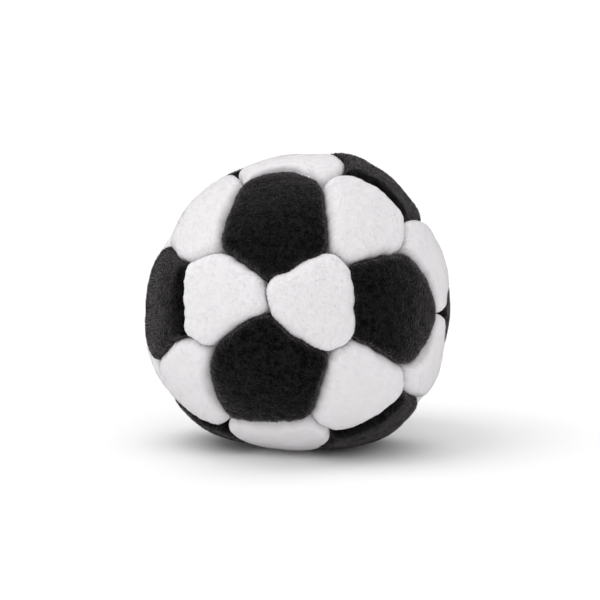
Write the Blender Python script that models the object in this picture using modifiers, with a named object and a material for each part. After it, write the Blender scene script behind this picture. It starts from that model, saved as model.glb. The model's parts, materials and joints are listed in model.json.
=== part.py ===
"""Footbag: 12 black and 20 white fabric panels sewn into a ball round a loose filling.

Metres, +Z up.  The ball stands on the flat that its own weight presses into it, the origin
lies on the floor under the middle of the ball, and the photographed side faces -Y.

Each panel is a puffed cap whose edges are turned inward along the seams.  A thread runs under
the turned edges round every black panel, and the filling takes up the room that is left.
"""
import math

import bmesh
import bpy
from mathutils import Euler, Vector

COLLECTION_NAME = "footbag"

# Ball
BALL_RADIUS = 0.025          # middle of the ball to the crown of a panel
FOOT_DEPTH = 0.0029          # how far its own weight presses the underside in

# Fabric panels
FABRIC = 0.0008              # thickness of the short-napped cloth
SEAM_DEPTH = 0.0028          # crown of a panel down to the seam line beside it
ROLL_WIDTH = 0.0030          # seam line to where a panel has risen to its full height
FOOT_SEAM_RISE = 0.0009      # floor up to the seam lines where the ball stands on its panels
SEAM_ALLOWANCE = 0.0020      # cloth turned inward below the seam line
CLEARANCE = 0.0003           # air left between two pieces that touch on the real ball

# Seam thread
THREAD_RADIUS = 0.00025

# Cloth panels as a football has them: corners lie on the lines between black panels
CORNER_SHARE = 0.414         # black panel's middle to its corner, share of the whole line
PATTERN_TURN_DEG = (-15, -32, -6)

# Steps along a seam between its corners, and rings across a panel from its seam inward
LONG_SEAM_STEPS = 3
SHORT_SEAM_STEPS = 1
RING_SHARES = (0.07, 0.20, 0.45)
POCKET_RING_SHARE = 0.12
BRANCH_STEPS = 2

# Camera of the photograph, and the ball's place in it in pixels of its 600 by 600 frame
CAMERA_DISTANCE = 0.50
CAMERA_ELEVATION_DEG = 9
BALL_MIDDLE_PX = (299.5, 308)
BALL_RADIUS_PX = 154

# Outline fuller or leaner than round, at each half hour of a clock face over the photograph
CLOCK_SWELL_SHARES = (
    -0.012, 0.044, 0.030, 0.002, -0.010, -0.008, -0.026, -0.028, 0.000, 0.004, 0.018, 0.015,
    0.000, -0.020, -0.016, 0.000, 0.018, 0.025, -0.006, -0.013, -0.035, -0.016, -0.010, -0.014)

# Seam corners read off the photograph, in its pixels, listed by the panel they belong to
TOP_PANEL_CORNERS_PX = ((266, 281.5), (328.5, 249.5), (321.5, 184.5), (244, 187), (220.5, 250.5))
LOW_PANEL_CORNERS_PX = ((266.5, 312.5), (330, 354.5), (310, 417.5), (231.5, 416), (212, 349))
RIGHT_PANEL_CORNERS_PX = ((350, 264), (402, 252), (433, 313), (403.5, 366.5), (355, 339))
LEFT_PANEL_CORNERS_PX = ((189, 263.5), (186.5, 336.5))
RIM_CORNERS_PX = ((341, 176), (403, 220), (333, 430), (402, 391), (237.5, 176.5), (440, 313), (227, 424))

# The puffed edges hide the seam lines, so the photograph shows them higher than they lie
SEEN_SEAM_DEPTH = 0.0016

# Each corner that the photograph doesn't show follows its three neighbours, this many times
EASING_ROUNDS = 40
READING_ROUNDS = 8

# Colour and roughness of each material
BLACK_CLOTH = (0.018, 0.017, 0.019, 1.0)
WHITE_CLOTH = (0.86, 0.84, 0.85, 1.0)
WHITE_THREAD = (0.80, 0.79, 0.77, 1.0)
CLEAR_PELLETS = (0.62, 0.60, 0.55, 1.0)
CLOTH_ROUGHNESS = 0.95
THREAD_ROUGHNESS = 0.6
PELLET_ROUGHNESS = 0.4

# Points of the filling's lofts closer than this are one point
WELD_DISTANCE = 0.00001

BALL_MIDDLE = Vector((0, 0, BALL_RADIUS - FOOT_DEPTH))


class Panel:
    """One cloth panel: its name, its colour, and the directions of its corners in order."""

    def __init__(self, is_black, corners, regular_height):
        self.is_black = is_black
        self.corners = corners
        self.middle = sum(corners, Vector()).normalized()
        self.regular_height = regular_height
        self.name = ""


# Camera and the ball's own shape

def view_axes():
    """Right, up and towards the camera, as unit vectors."""
    rise = math.radians(CAMERA_ELEVATION_DEG)
    right = Vector((1, 0, 0))
    up = Vector((0, math.sin(rise), math.cos(rise)))
    toward = Vector((0, -math.cos(rise), math.sin(rise)))
    return right, up, toward


def swell_share(direction):
    """How much fuller than round the ball is in a direction, fading off the outline."""
    right, up, toward = view_axes()
    across = direction.dot(right)
    rise = direction.dot(up)
    hours = len(CLOCK_SWELL_SHARES)
    clock = (math.atan2(across, rise) / math.tau * hours) % hours
    hour = int(clock) % hours
    blend = clock - int(clock)
    blend = blend * blend * (3 - 2 * blend)
    here = CLOCK_SWELL_SHARES[hour]
    following = CLOCK_SWELL_SHARES[(hour + 1) % hours]
    sideways = 1 - direction.dot(toward) ** 2
    return (here + (following - here) * blend) * sideways


def cover_radius(direction):
    """Distance from the middle of the ball to the crown of the cover, before it stands."""
    return BALL_RADIUS * (1 + swell_share(direction))


def roll_depth(from_seam):
    """Depth of a panel's outer face below its crown, at a distance from the seam plane."""
    share = min(max(from_seam / ROLL_WIDTH, 0), 1)
    return SEAM_DEPTH * (1 - math.sqrt(1 - (1 - share) ** 2))


def place(direction, depth, below, shift=None):
    """Point of a layer of the ball.

    depth is that of the outer face below the crown, below is that of the layer under the
    outer face, and shift moves the point off the seam plane.  The foot flattens each layer
    at its own height over the floor, and leaves a shallow groove along the seam lines.
    """
    shift = shift or Vector()
    radius = cover_radius(direction) - depth - below
    groove = max(depth - SEAM_DEPTH + FOOT_SEAM_RISE, 0)
    lowest = below + groove - BALL_MIDDLE.z
    if radius * direction.z + shift.z < lowest:
        radius = (lowest - shift.z) / direction.z
    return BALL_MIDDLE + direction * radius + shift


# Seam corners

def read_direction(pixel):
    """Direction from the ball's middle to the seam line under the place seen at a pixel."""
    right, up, toward = view_axes()
    spread = BALL_RADIUS / math.sqrt(CAMERA_DISTANCE ** 2 - BALL_RADIUS ** 2)
    across = (pixel[0] - BALL_MIDDLE_PX[0]) / BALL_RADIUS_PX * spread
    rise = (BALL_MIDDLE_PX[1] - pixel[1]) / BALL_RADIUS_PX * spread
    eye = toward * CAMERA_DISTANCE
    ray = (right * across + up * rise - toward).normalized()
    nearest = -eye.dot(ray)
    miss = eye + ray * nearest
    direction = miss.normalized()
    for _ in range(READING_ROUNDS):
        radius = cover_radius(direction) - SEEN_SEAM_DEPTH
        reach = math.sqrt(max(radius ** 2 - miss.length_squared, 0))
        direction = (miss - ray * reach).normalized()
    return direction


def regular_pattern():
    """Black panels' directions, each one's neighbours in order, and the white panels' trios."""
    ball = bmesh.new()
    bmesh.ops.create_icosphere(ball, subdivisions=1, radius=1)
    turn = Euler([math.radians(angle) for angle in PATTERN_TURN_DEG]).to_matrix()
    bmesh.ops.rotate(ball, verts=ball.verts, matrix=turn)
    ball.verts.ensure_lookup_table()
    middles = [vertex.co.normalized() for vertex in ball.verts]
    neighbours = []
    for vertex in ball.verts:
        axis = middles[vertex.index]
        side = axis.orthogonal().normalized()
        others = [edge.other_vert(vertex).index for edge in vertex.link_edges]
        others.sort(key=lambda other: math.atan2(middles[other].dot(axis.cross(side)),
                                                 middles[other].dot(side)))
        neighbours.append(others)
    trios = [tuple(vertex.index for vertex in face.verts) for face in ball.faces]
    ball.free()
    return middles, neighbours, trios


def seam_corners(middles, neighbours):
    """Direction of each seam corner, keyed by its black panel and the one it points at."""
    regular = {}
    for black, others in enumerate(neighbours):
        for other in others:
            corner = middles[black].lerp(middles[other], CORNER_SHARE)
            regular[black, other] = corner.normalized()

    readings = (TOP_PANEL_CORNERS_PX + LOW_PANEL_CORNERS_PX + RIGHT_PANEL_CORNERS_PX
                + LEFT_PANEL_CORNERS_PX + RIM_CORNERS_PX)
    moved = {}
    for pixel in readings:
        seen = read_direction(pixel)
        key = max(regular, key=lambda each: regular[each].dot(seen))
        moved[key] = seen - regular[key]

    shifts = {key: moved.get(key, Vector()) for key in regular}
    for _ in range(EASING_ROUNDS):
        eased = {}
        for black, other in regular:
            ring = neighbours[black]
            spot = ring.index(other)
            beside = (shifts[black, ring[spot - 1]]
                      + shifts[black, ring[(spot + 1) % len(ring)]]
                      + shifts[other, black])
            eased[black, other] = moved.get((black, other), beside / 3)
        shifts = eased
    return {key: (regular[key] + shifts[key]).normalized() for key in regular}


def sewn_panels(middles, neighbours, trios, corners):
    """All the panels, the black ones first, numbered downward by their regular heights."""
    blacks = []
    for black, others in enumerate(neighbours):
        ring = [corners[black, other] for other in others]
        blacks.append(Panel(True, ring, middles[black].z))
    whites = []
    for first, second, third in trios:
        keys = ((first, second), (second, first), (second, third),
                (third, second), (third, first), (first, third))
        height = (middles[first] + middles[second] + middles[third]).z
        whites.append(Panel(False, [corners[key] for key in keys], height))
    for colour, panels in (("black", blacks), ("white", whites)):
        panels.sort(key=lambda panel: -panel.regular_height)
        for number, panel in enumerate(panels, 1):
            panel.name = f"{colour}_panel_{number:02d}"
    return blacks + whites


# Rings of points round a panel

def seam_steps(panel, side):
    """Steps along one side: sides between two white panels are the short ones."""
    short = not panel.is_black and side % 2 == 0
    return SHORT_SEAM_STEPS if short else LONG_SEAM_STEPS


def side_normals(panel):
    """Unit normals of the seam planes, which all pass through the ball's middle."""
    count = len(panel.corners)
    return [panel.corners[side].cross(panel.corners[(side + 1) % count]).normalized()
            for side in range(count)]


def edge_ring(panel, inset, depth, below):
    """Points round the panel at one distance inside its seam planes."""
    normals = side_normals(panel)
    count = len(panel.corners)
    ring = []
    for side, corner in enumerate(panel.corners):
        before = normals[side - 1]
        after = normals[side]
        shift = (before + after) * (inset / (1 + before.dot(after)))
        ring.append(place(corner, depth, below, shift))
        following = panel.corners[(side + 1) % count]
        steps = seam_steps(panel, side)
        for step in range(1, steps):
            direction = corner.slerp(following, step / steps)
            ring.append(place(direction, depth, below, after * inset))
    return ring


def nearest_seam(panel, direction):
    """Distance from the crown point in a direction to the closest seam plane."""
    radius = cover_radius(direction)
    return min(normal.dot(direction) for normal in side_normals(panel)) * radius


def inner_ring(panel, outer_ring, share, inset, below):
    """Points a share of the way from a ring to the panel's middle.

    The roll of the outer face counts from the inset, so a layer under it follows its inside.
    """
    ring = []
    for point in outer_ring:
        start = (point - BALL_MIDDLE).normalized()
        direction = start.lerp(panel.middle, share).normalized()
        depth = roll_depth(nearest_seam(panel, direction) - inset)
        ring.append(place(direction, depth, below))
    return ring


def add_loft(mesh, rings, crown):
    """Faces between rings of equal count, closed over the last one by a fan to the crown."""
    rows = [[mesh.verts.new(point) for point in ring] for ring in rings]
    for lower, upper in zip(rows, rows[1:]):
        for index in range(len(lower)):
            after = (index + 1) % len(lower)
            mesh.faces.new((lower[index], lower[after], upper[after], upper[index]))
    top = mesh.verts.new(crown)
    last = rows[-1]
    for index in range(len(last)):
        mesh.faces.new((last[index], last[(index + 1) % len(last)], top))


# Pieces

def plain_material(name, colour, roughness):
    material = bpy.data.materials.new(name)
    material.use_nodes = True
    surface = material.node_tree.nodes["Principled BSDF"]
    surface.inputs["Base Color"].default_value = colour
    surface.inputs["Roughness"].default_value = roughness
    surface.inputs["Metallic"].default_value = 0.0
    return material


def add_object(name, mesh, collection, material):
    """New object from an edit mesh, in the collection, with its own copy of a material."""
    data = bpy.data.meshes.new(name)
    mesh.to_mesh(data)
    mesh.free()
    piece = bpy.data.objects.new(name, data)
    own = material.copy()
    own.name = name
    data.materials.append(own)
    collection.objects.link(piece)
    return piece


def make_panel(panel, collection, material):
    """Puffed cap with turned edges: an open skin, thickened inward."""
    half_gap = CLEARANCE / 2
    raw_edge = edge_ring(panel, half_gap, SEAM_DEPTH, SEAM_ALLOWANCE)
    seam_line = edge_ring(panel, half_gap, SEAM_DEPTH, 0)
    rings = [raw_edge, seam_line]
    rings += [inner_ring(panel, seam_line, share, half_gap, 0) for share in RING_SHARES]
    mesh = bmesh.new()
    add_loft(mesh, rings, place(panel.middle, 0, 0))
    piece = add_object(panel.name, mesh, collection, material)
    piece.data.shade_smooth()
    shell = piece.modifiers.new("cloth thickness", "SOLIDIFY")
    shell.thickness = FABRIC
    shell.offset = -1
    shell.use_even_offset = True
    return piece


def make_filling(panels, collection, material):
    """Loose filling as one lump: a pocket under each panel, grooves round the turned edges."""
    wall = CLEARANCE / 2 + FABRIC + CLEARANCE
    under_cloth = FABRIC + CLEARANCE
    groove = SEAM_ALLOWANCE + CLEARANCE + 2 * THREAD_RADIUS + CLEARANCE
    mesh = bmesh.new()
    for panel in panels:
        floor_line = edge_ring(panel, 0, SEAM_DEPTH, groove)
        wall_foot = edge_ring(panel, wall, SEAM_DEPTH, groove)
        wall_top = edge_ring(panel, wall, SEAM_DEPTH, under_cloth)
        seam_line = edge_ring(panel, CLEARANCE / 2, SEAM_DEPTH, 0)
        pocket = inner_ring(panel, wall_top, POCKET_RING_SHARE, wall, under_cloth)
        crown = inner_ring(panel, seam_line, RING_SHARES[-1], wall, under_cloth)
        rings = [floor_line, wall_foot, wall_top, pocket, crown]
        add_loft(mesh, rings, place(panel.middle, 0, under_cloth))
    bmesh.ops.remove_doubles(mesh, verts=mesh.verts, dist=WELD_DISTANCE)
    return add_object("pellet_filling", mesh, collection, material)


def thread_point(direction):
    """Middle of the thread where it runs along a seam, just under the turned edges."""
    return place(direction, SEAM_DEPTH, SEAM_ALLOWANCE + CLEARANCE + THREAD_RADIUS)


def make_thread(name, black, neighbours, corners, collection, material):
    """Thread round one black panel, with a branch along each white seam that is sewn with it."""
    mesh = bmesh.new()
    ring = []
    others = neighbours[black]
    starts = {}
    for spot, other in enumerate(others):
        corner = corners[black, other]
        following = corners[black, others[(spot + 1) % len(others)]]
        for step in range(LONG_SEAM_STEPS):
            direction = corner.slerp(following, step / LONG_SEAM_STEPS)
            ring.append(mesh.verts.new(thread_point(direction)))
            if step == 0:
                starts[other] = ring[-1]
    for index, vertex in enumerate(ring):
        mesh.edges.new((vertex, ring[(index + 1) % len(ring)]))

    for other, start in starts.items():
        if not sews_branch(black, other):
            continue
        near = thread_point(corners[black, other])
        far = thread_point(corners[other, black])
        length = (far - near).length
        thread_width = 2 * THREAD_RADIUS
        reach = (length - CLEARANCE - 2 * thread_width) / length
        last = start
        for step in range(1, BRANCH_STEPS + 1):
            along = corners[black, other].lerp(corners[other, black], reach * step / BRANCH_STEPS)
            vertex = mesh.verts.new(thread_point(along.normalized()))
            mesh.edges.new((last, vertex))
            last = vertex

    piece = add_object(name, mesh, collection, material)
    tube = piece.modifiers.new("thread thickness", "SKIN")
    tube.use_smooth_shade = True
    for point in piece.data.skin_vertices[0].data:
        point.radius = (THREAD_RADIUS, THREAD_RADIUS)
    piece.data.skin_vertices[0].data[0].use_root = True
    return piece


def sews_branch(black, other):
    """Which of two black panels' threads sews the white seam between them: they take turns."""
    return (black < other) == ((black + other) % 2 == 0)


def stand_on_origin(pieces):
    """Parent the pieces to an empty and move it so that the origin is under their middle."""
    frame = bpy.data.objects.new("ball_frame", None)
    pieces[0].users_collection[0].objects.link(frame)
    points = [piece.matrix_world @ vertex.co for piece in pieces for vertex in piece.data.vertices]
    for piece in pieces:
        piece.parent = frame
    for axis in (0, 1):
        values = [point[axis] for point in points]
        frame.location[axis] = -(min(values) + max(values)) / 2


def main():
    for leftover in list(bpy.data.objects):
        bpy.data.objects.remove(leftover)
    collection = bpy.data.collections.new(COLLECTION_NAME)
    bpy.context.scene.collection.children.link(collection)

    black_cloth = plain_material("black cloth", BLACK_CLOTH, CLOTH_ROUGHNESS)
    white_cloth = plain_material("white cloth", WHITE_CLOTH, CLOTH_ROUGHNESS)
    thread = plain_material("thread", WHITE_THREAD, THREAD_ROUGHNESS)
    pellets = plain_material("pellets", CLEAR_PELLETS, PELLET_ROUGHNESS)

    middles, neighbours, trios = regular_pattern()
    corners = seam_corners(middles, neighbours)
    panels = sewn_panels(middles, neighbours, trios, corners)
    pieces = []
    for panel in panels:
        cloth = black_cloth if panel.is_black else white_cloth
        pieces.append(make_panel(panel, collection, cloth))
    pieces.append(make_filling(panels, collection, pellets))
    downward = sorted(range(len(middles)), key=lambda black: -middles[black].z)
    for number, black in enumerate(downward, 1):
        name = f"seam_thread_{number:02d}"
        pieces.append(make_thread(name, black, neighbours, corners, collection, thread))
    stand_on_origin(pieces)


main()
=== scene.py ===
"""Looks of the footbag: 32 napped cloth panels, sewn together round loose pellets.

Metres, +Z up, in the frame of the packed solids.  Each solid is replaced by a finer piece that
fills the same place: the panels are one skin, blown up like the filled ball and cut along its
seams, then puckered at the stitches and covered with a short nap.
"""
import json
import math
from collections import namedtuple

import bmesh
import bpy
import numpy as np
from bpy.props import FloatProperty, FloatVectorProperty, IntProperty, PointerProperty
from mathutils import Euler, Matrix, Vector, noise

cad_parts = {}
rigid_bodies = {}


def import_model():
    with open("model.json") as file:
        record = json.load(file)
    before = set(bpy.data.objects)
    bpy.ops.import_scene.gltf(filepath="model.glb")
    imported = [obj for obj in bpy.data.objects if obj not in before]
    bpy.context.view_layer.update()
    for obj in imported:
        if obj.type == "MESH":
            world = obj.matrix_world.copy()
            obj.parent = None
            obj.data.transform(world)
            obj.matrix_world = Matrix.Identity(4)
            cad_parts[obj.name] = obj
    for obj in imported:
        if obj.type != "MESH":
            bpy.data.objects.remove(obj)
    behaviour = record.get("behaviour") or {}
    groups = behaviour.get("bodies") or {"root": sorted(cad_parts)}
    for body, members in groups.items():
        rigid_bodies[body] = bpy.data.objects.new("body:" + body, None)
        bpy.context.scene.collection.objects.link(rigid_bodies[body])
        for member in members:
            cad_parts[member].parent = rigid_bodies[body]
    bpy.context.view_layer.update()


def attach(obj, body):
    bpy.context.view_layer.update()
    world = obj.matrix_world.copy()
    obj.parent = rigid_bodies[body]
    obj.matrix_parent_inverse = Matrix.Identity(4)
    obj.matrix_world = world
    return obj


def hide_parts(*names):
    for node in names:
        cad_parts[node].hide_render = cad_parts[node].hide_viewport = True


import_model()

bl_info = {
    "name": "Footbag",
    "version": (1, 0, 0),
    "blender": (4, 5, 0),
    "location": "View3D > Sidebar > Footbag",
    "description": "Builds a small sewn cloth ball in the football pattern",
    "category": "Object",
}

BODY = "root"

# The ball as its solids have it
BALL_RADIUS = 0.025
FOOT_DEPTH = 0.0029
SEAM_DEPTH = 0.0028
ROLL_WIDTH = 0.0030
FOOT_SEAM_RISE = 0.0009
SEAM_ALLOWANCE = 0.0020
FABRIC = 0.0008
CLEARANCE = 0.0003
THREAD_RADIUS = 0.00025
BALL_MIDDLE = np.array((0.000299, -0.000004, BALL_RADIUS - FOOT_DEPTH))

# The cloth rounds the edge of the foot, and sinks as much as keeps its lowest point on the floor
FOOT_ROUNDING = 0.0050
FOOT_SINK = (math.sqrt(FOOT_ROUNDING) - math.sqrt(FOOT_DEPTH)) ** 2
HIGHEST_FOOT_SLOPE = 0.3

# The football pattern, and the seam corners read off the 600 by 600 photograph
CORNER_SHARE = 0.414
PATTERN_TURN_DEG = (-15, -32, -6)
CAMERA_DISTANCE = 0.50
CAMERA_ELEVATION_DEG = 9
FRAME_PX = 600
BALL_MIDDLE_PX = (299.5, 308)
BALL_RADIUS_PX = 154
BALL_SPREAD = BALL_RADIUS / math.sqrt(CAMERA_DISTANCE ** 2 - BALL_RADIUS ** 2)
CLOCK_SWELL_SHARES = (
    -0.012, 0.044, 0.030, 0.002, -0.010, -0.008, -0.026, -0.028, 0.000, 0.004, 0.018, 0.015,
    0.000, -0.020, -0.016, 0.000, 0.018, 0.025, -0.006, -0.013, -0.035, -0.016, -0.010, -0.014)
TOP_PANEL_CORNERS_PX = ((266, 281.5), (328.5, 249.5), (321.5, 184.5), (244, 187), (220.5, 250.5))
LOW_PANEL_CORNERS_PX = ((266.5, 312.5), (330, 354.5), (310, 417.5), (231.5, 416), (212, 349))
RIGHT_PANEL_CORNERS_PX = ((350, 264), (402, 252), (433, 313), (403.5, 366.5), (355, 339))
LEFT_PANEL_CORNERS_PX = ((189, 263.5), (186.5, 336.5))
RIM_CORNERS_PX = (
    (341, 176), (403, 220), (333, 430), (402, 391), (237.5, 176.5), (440, 313), (227, 424))
SEEN_SEAM_DEPTH = 0.0013
EASING_ROUNDS = 40
READING_ROUNDS = 8

# Seams that bow sideways: a pixel on the straight seam, and how far the sewn one lies from it
SEAM_BOWS_PX = (
    ((287, 182), (0, -8.5)), ((333, 160), (12, 0)), ((372, 192), (3, -3)), ((420, 278), (2, -2)),
    ((420, 345), (3, 3)), ((214, 382), (-5, 0)), ((237, 332), (-2, -3)), ((303, 334), (-2, 4)),
    ((200, 408), (-1, 2)), ((365, 418), (0, 2)), ((352, 305), (2, 0)), ((243, 267), (1, -2)),
    ((165, 353), (-2, -2)), ((178, 252), (-2, 2)))
FACING_COSINE = 0.8

# Shape of the cloth beside a seam, and how far from it each of the seam's marks reaches
NAP_ALLOWANCE = 0.00025
COVER_ROLL_WIDTH = 0.0026
ROLL_POWER = 3.0
CORNER_POWER = 5
SEAM_END_POWER = 8
KEEPING_ROUNDS = 3
PUCKER_REACH = 0.0007
GATHER_REACH = 0.0014
CORNER_REACH = 0.0009
WANDER_REACH = 0.0025
BOW_REACH = 0.0045
BLACK_GATHER_SHARE = 0.25
CREASE_SLANT = 0.25
STITCH_DRIFT_SHARE = 0.12
PULL_UNEVENNESS = 0.25
PULL_WAVE_STRETCH = 1.7
LUMP_SIZE = 0.0050
RIPPLE_SIZE = 0.0018

# Random waves along a seam: how many, and the shortest and the longest of them
WANDER_WAVES = (5, 0.0022, 0.012)
STITCH_WAVES = (3, 0.002, 0.006)
CREASE_WAVES = (6, 0.0012, 0.0045)

# The skin is blown up at this many times its size
CLOTH_SCALE = 20
CLOTH_QUALITY = 5
SEAMWARD_POWER = 1.3
EVENING_ROUNDS = 3

THREAD_STEPS = 12
THREAD_END = 0.0013
STITCH_OVERLAP = 1.25
PELLET_JITTER_SHARE = 0.04
SPHERE_FACES = 80

NAP_LOWEST = 0.0006
NAP_DEEPEST = 0.0024
NAP_FULLNESS = 1.3
CLUMP_SIZE = 0.0011
TUFT_FACES = 4
TUFT_SIZES = (0.55, 1.25)
TUFT_FLOOR_GAP = 0.00002

NAP_MASK = "nap_mask"
TUFT_TONE = "tuft_tone"
ROOT_NORMAL = "root_normal"

# The bake map of a panel has its face in the middle and its back, far smaller, in one corner
BAKE_MAP = "OFBake"
MAP_MARGIN = 1.12
MAP_WALL_STEP = 0.03
MAP_BACK_SHARE = 0.12
MAP_BACK_EDGE = 0.005
TRIANGLE = np.array(((0.1, 0.1), (0.9, 0.1), (0.9, 0.9)))

# The two cloths. Shades are shares of the cloth's colour, the darkest and the lightest
FIBRE_SIZE = 0.00025
FIBRE_HEIGHT = 0.00008
BLOT_SIZE = 0.0010
BLOT_CONTRAST = 5.5
TUFT_CONTRAST = 1.6
NAP_GLOSS = 0.05
CLOTH_ROUGHNESS = 0.95
SHEEN_ROUGHNESS = 0.30
ClothLook = namedtuple("ClothLook", "shades tuft_shades sheen tuft_sheen sheen_tint clump_height "
                                    "relief_strength tuft_smoothness")
LOOKS = {
    "black": ClothLook(shades=(0.05, 1.8), tuft_shades=(0.05, 3.5), sheen=0.5, tuft_sheen=1.0,
                       sheen_tint=(1.0, 0.93, 0.97), clump_height=0.00035, relief_strength=0.8,
                       tuft_smoothness=0.7),
    "white": ClothLook(shades=(0.98, 1.01), tuft_shades=(0.985, 1.005), sheen=0.05,
                       tuft_sheen=0.05, sheen_tint=(1.0, 1.0, 1.0), clump_height=0.00005,
                       relief_strength=0.15, tuft_smoothness=0.8),
}

LAMPS = (("top", (0, 0, 1), "top_power"), ("window", (-0.6, -0.1, 1), "window_power"),
         ("left", (-1, -0.5, 0.15), "side_power"), ("right", (1, -0.5, 0.15), "side_power"))
CAMERA_CLIP_START = 0.01

TINY = 1e-9
ROUNDING = 1e-6


# Values that a user may change

def length_value(name, description, default):
    return FloatProperty(name=name, description=description, default=default, unit="LENGTH")


def amount_value(name, description, default, **limits):
    return FloatProperty(name=name, description=description, default=default, min=0.0, **limits)


def colour_value(name, description, default):
    return FloatVectorProperty(name=name, description=description, default=default, subtype="COLOR")


class FootbagCloth(bpy.types.PropertyGroup):
    """How the cloth panels are blown up, gathered and puckered"""

    blown_steps: IntProperty(
        name="Blown steps", description="Quads from a panel's middle to its seam as it is blown up",
        default=8, min=4)
    finer: IntProperty(
        name="Finer", description="How many times finer the finished cloth is", default=4, min=1)
    blown_frames: IntProperty(
        name="Frames", description="Frames that the cloth takes to settle", default=20, min=2)
    filling_pressure: amount_value(
        "Filling pressure", "How hard the filling pushes the cloth out", 4.0)
    spare_cloth: amount_value(
        "Spare cloth", "Extra cloth in each panel, which gathers at its seams", 0.02, max=0.3)
    slack_share: amount_value(
        "Slack", "How much smaller than the filled ball the cloth starts, as a share", 0.012,
        max=0.2)
    largest_move: length_value(
        "Largest move", "How far the filling may push any point of the cloth", 0.0008)
    seam_gap: length_value("Seam gap", "Air between two panels in their seam", 0.00003)
    seam_wander: length_value(
        "Seam wander", "How far the sewing strays from a straight seam", 0.00012)
    stitch_pitch: length_value("Stitch pitch", "From one stitch to the next", 0.0008)
    pucker_depth: length_value("Pucker depth", "How far a stitch pulls the cloth in", 0.00012)
    scallop: length_value("Scallop", "How far a stitch pulls the seam sideways", 0.00010)
    gather_depth: length_value(
        "Gather depth", "Depth of the creases that run off a seam", 0.00008)
    corner_pull: length_value(
        "Corner pull", "How far the cloth is drawn in where three seams meet", 0.0005)
    lump_height: length_value(
        "Lump height", "How far single pellets show through the cloth", 0.00010)
    ripple_height: length_value("Ripple height", "Height of the small waves in the cloth", 0.00008)


class FootbagNap(bpy.types.PropertyGroup):
    """The short fibres that stand on the cloth"""

    black_length: length_value("Black nap", "Length of a tuft on the black cloth", 0.00024)
    white_length: length_value("White nap", "Length of a tuft on the white cloth", 0.00009)
    width: length_value("Width", "Width of a tuft at its root", 0.00006)
    per_square_mm: amount_value(
        "Per square millimetre", "Tufts on a square millimetre", 15.0)
    lean: amount_value("Lean", "How far a tuft leans sideways, as a share of its length", 0.5)
    brushed: amount_value("Brushed", "How far neighbouring tufts lean the same way", 2.5)


class FootbagFilling(bpy.types.PropertyGroup):
    """The pellets inside and the thread that holds the panels together"""

    pellet_length: length_value("Pellet length", "Length of a pellet", 0.0034)
    pellet_width: length_value("Pellet width", "Width of a pellet", 0.0026)
    thread_width: length_value("Thread width", "Width of the sewing thread", 0.0003)


class FootbagColours(bpy.types.PropertyGroup):
    """Colours of the cloth, the thread and the pellets"""

    black: colour_value(
        "Black cloth", "Colour of the five-sided panels", (0.0075, 0.0072, 0.0076))
    white: colour_value("White cloth", "Colour of the six-sided panels", (0.835, 0.815, 0.83))
    thread: colour_value("Thread", "Colour of the sewing thread", (0.80, 0.79, 0.77))
    pellets: colour_value("Pellets", "Colour of the filling", (0.62, 0.60, 0.55))


class FootbagStage(bpy.types.PropertyGroup):
    """The pale floor, the lamps and the camera"""

    top_power: amount_value("Top lamp", "Strength of the soft lamp above", 0.38)
    window_power: amount_value("Window", "Strength of the light from the upper left", 0.74)
    side_power: amount_value("Side lamps", "Strength of the low lamps at either side", 0.2)
    lamp_spread_deg: amount_value(
        "Softness", "Width of each lamp in degrees, seen from the ball", 40.0, max=180.0)
    sky_strength: amount_value("Sky", "Strength of the even light from all round", 0.76)
    floor_colour: colour_value("Floor", "Colour of the floor", (0.98, 0.98, 0.98))
    floor_size: length_value("Floor size", "Width of the floor", 4.0)


# Shader and geometry trees

class Nodes:
    """Adds nodes to one tree. A socket takes a value, another socket or a node's first output."""

    def __init__(self, tree):
        self.tree = tree

    def add(self, kind, settings=None, sockets=None):
        node = self.tree.nodes.new(kind)
        for name, value in (settings or {}).items():
            setattr(node, name, value)
        self.feed(node, sockets or {})
        return node

    def feed(self, node, sockets):
        for name, value in sockets.items():
            if isinstance(value, Number):
                value = value.socket
            elif isinstance(value, bpy.types.Node):
                value = value.outputs[0]
            if isinstance(value, bpy.types.NodeSocket):
                self.tree.links.new(value, node.inputs[name])
            else:
                node.inputs[name].default_value = value


class Number:
    """A number that changes over a surface. Arithmetic on it adds Math nodes."""

    def __init__(self, nodes, socket):
        self.nodes = nodes
        self.socket = socket

    def worked_out(self, operation, first, second=0.0, clamped=False):
        node = self.nodes.add("ShaderNodeMath", {"operation": operation, "use_clamp": clamped},
                              {0: first, 1: second})
        return Number(self.nodes, node.outputs[0])

    def __add__(self, other):
        return self.worked_out("ADD", self, other)

    def __radd__(self, other):
        return self.worked_out("ADD", other, self)

    def __sub__(self, other):
        return self.worked_out("SUBTRACT", self, other)

    def __rsub__(self, other):
        return self.worked_out("SUBTRACT", other, self)

    def __mul__(self, other):
        return self.worked_out("MULTIPLY", self, other)

    def __rmul__(self, other):
        return self.worked_out("MULTIPLY", other, self)

    def between_0_and_1(self):
        return self.worked_out("ADD", self, 0.0, clamped=True)


# The football pattern, as the solids have it

def view_axes():
    """Right, up and towards the camera, as unit vectors."""
    rise = math.radians(CAMERA_ELEVATION_DEG)
    right = np.array((1, 0, 0))
    up = np.array((0, math.sin(rise), math.cos(rise)))
    toward = np.array((0, -math.cos(rise), math.sin(rise)))
    return right, up, toward


def unit(vectors):
    return vectors / np.linalg.norm(vectors, axis=-1, keepdims=True)


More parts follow.
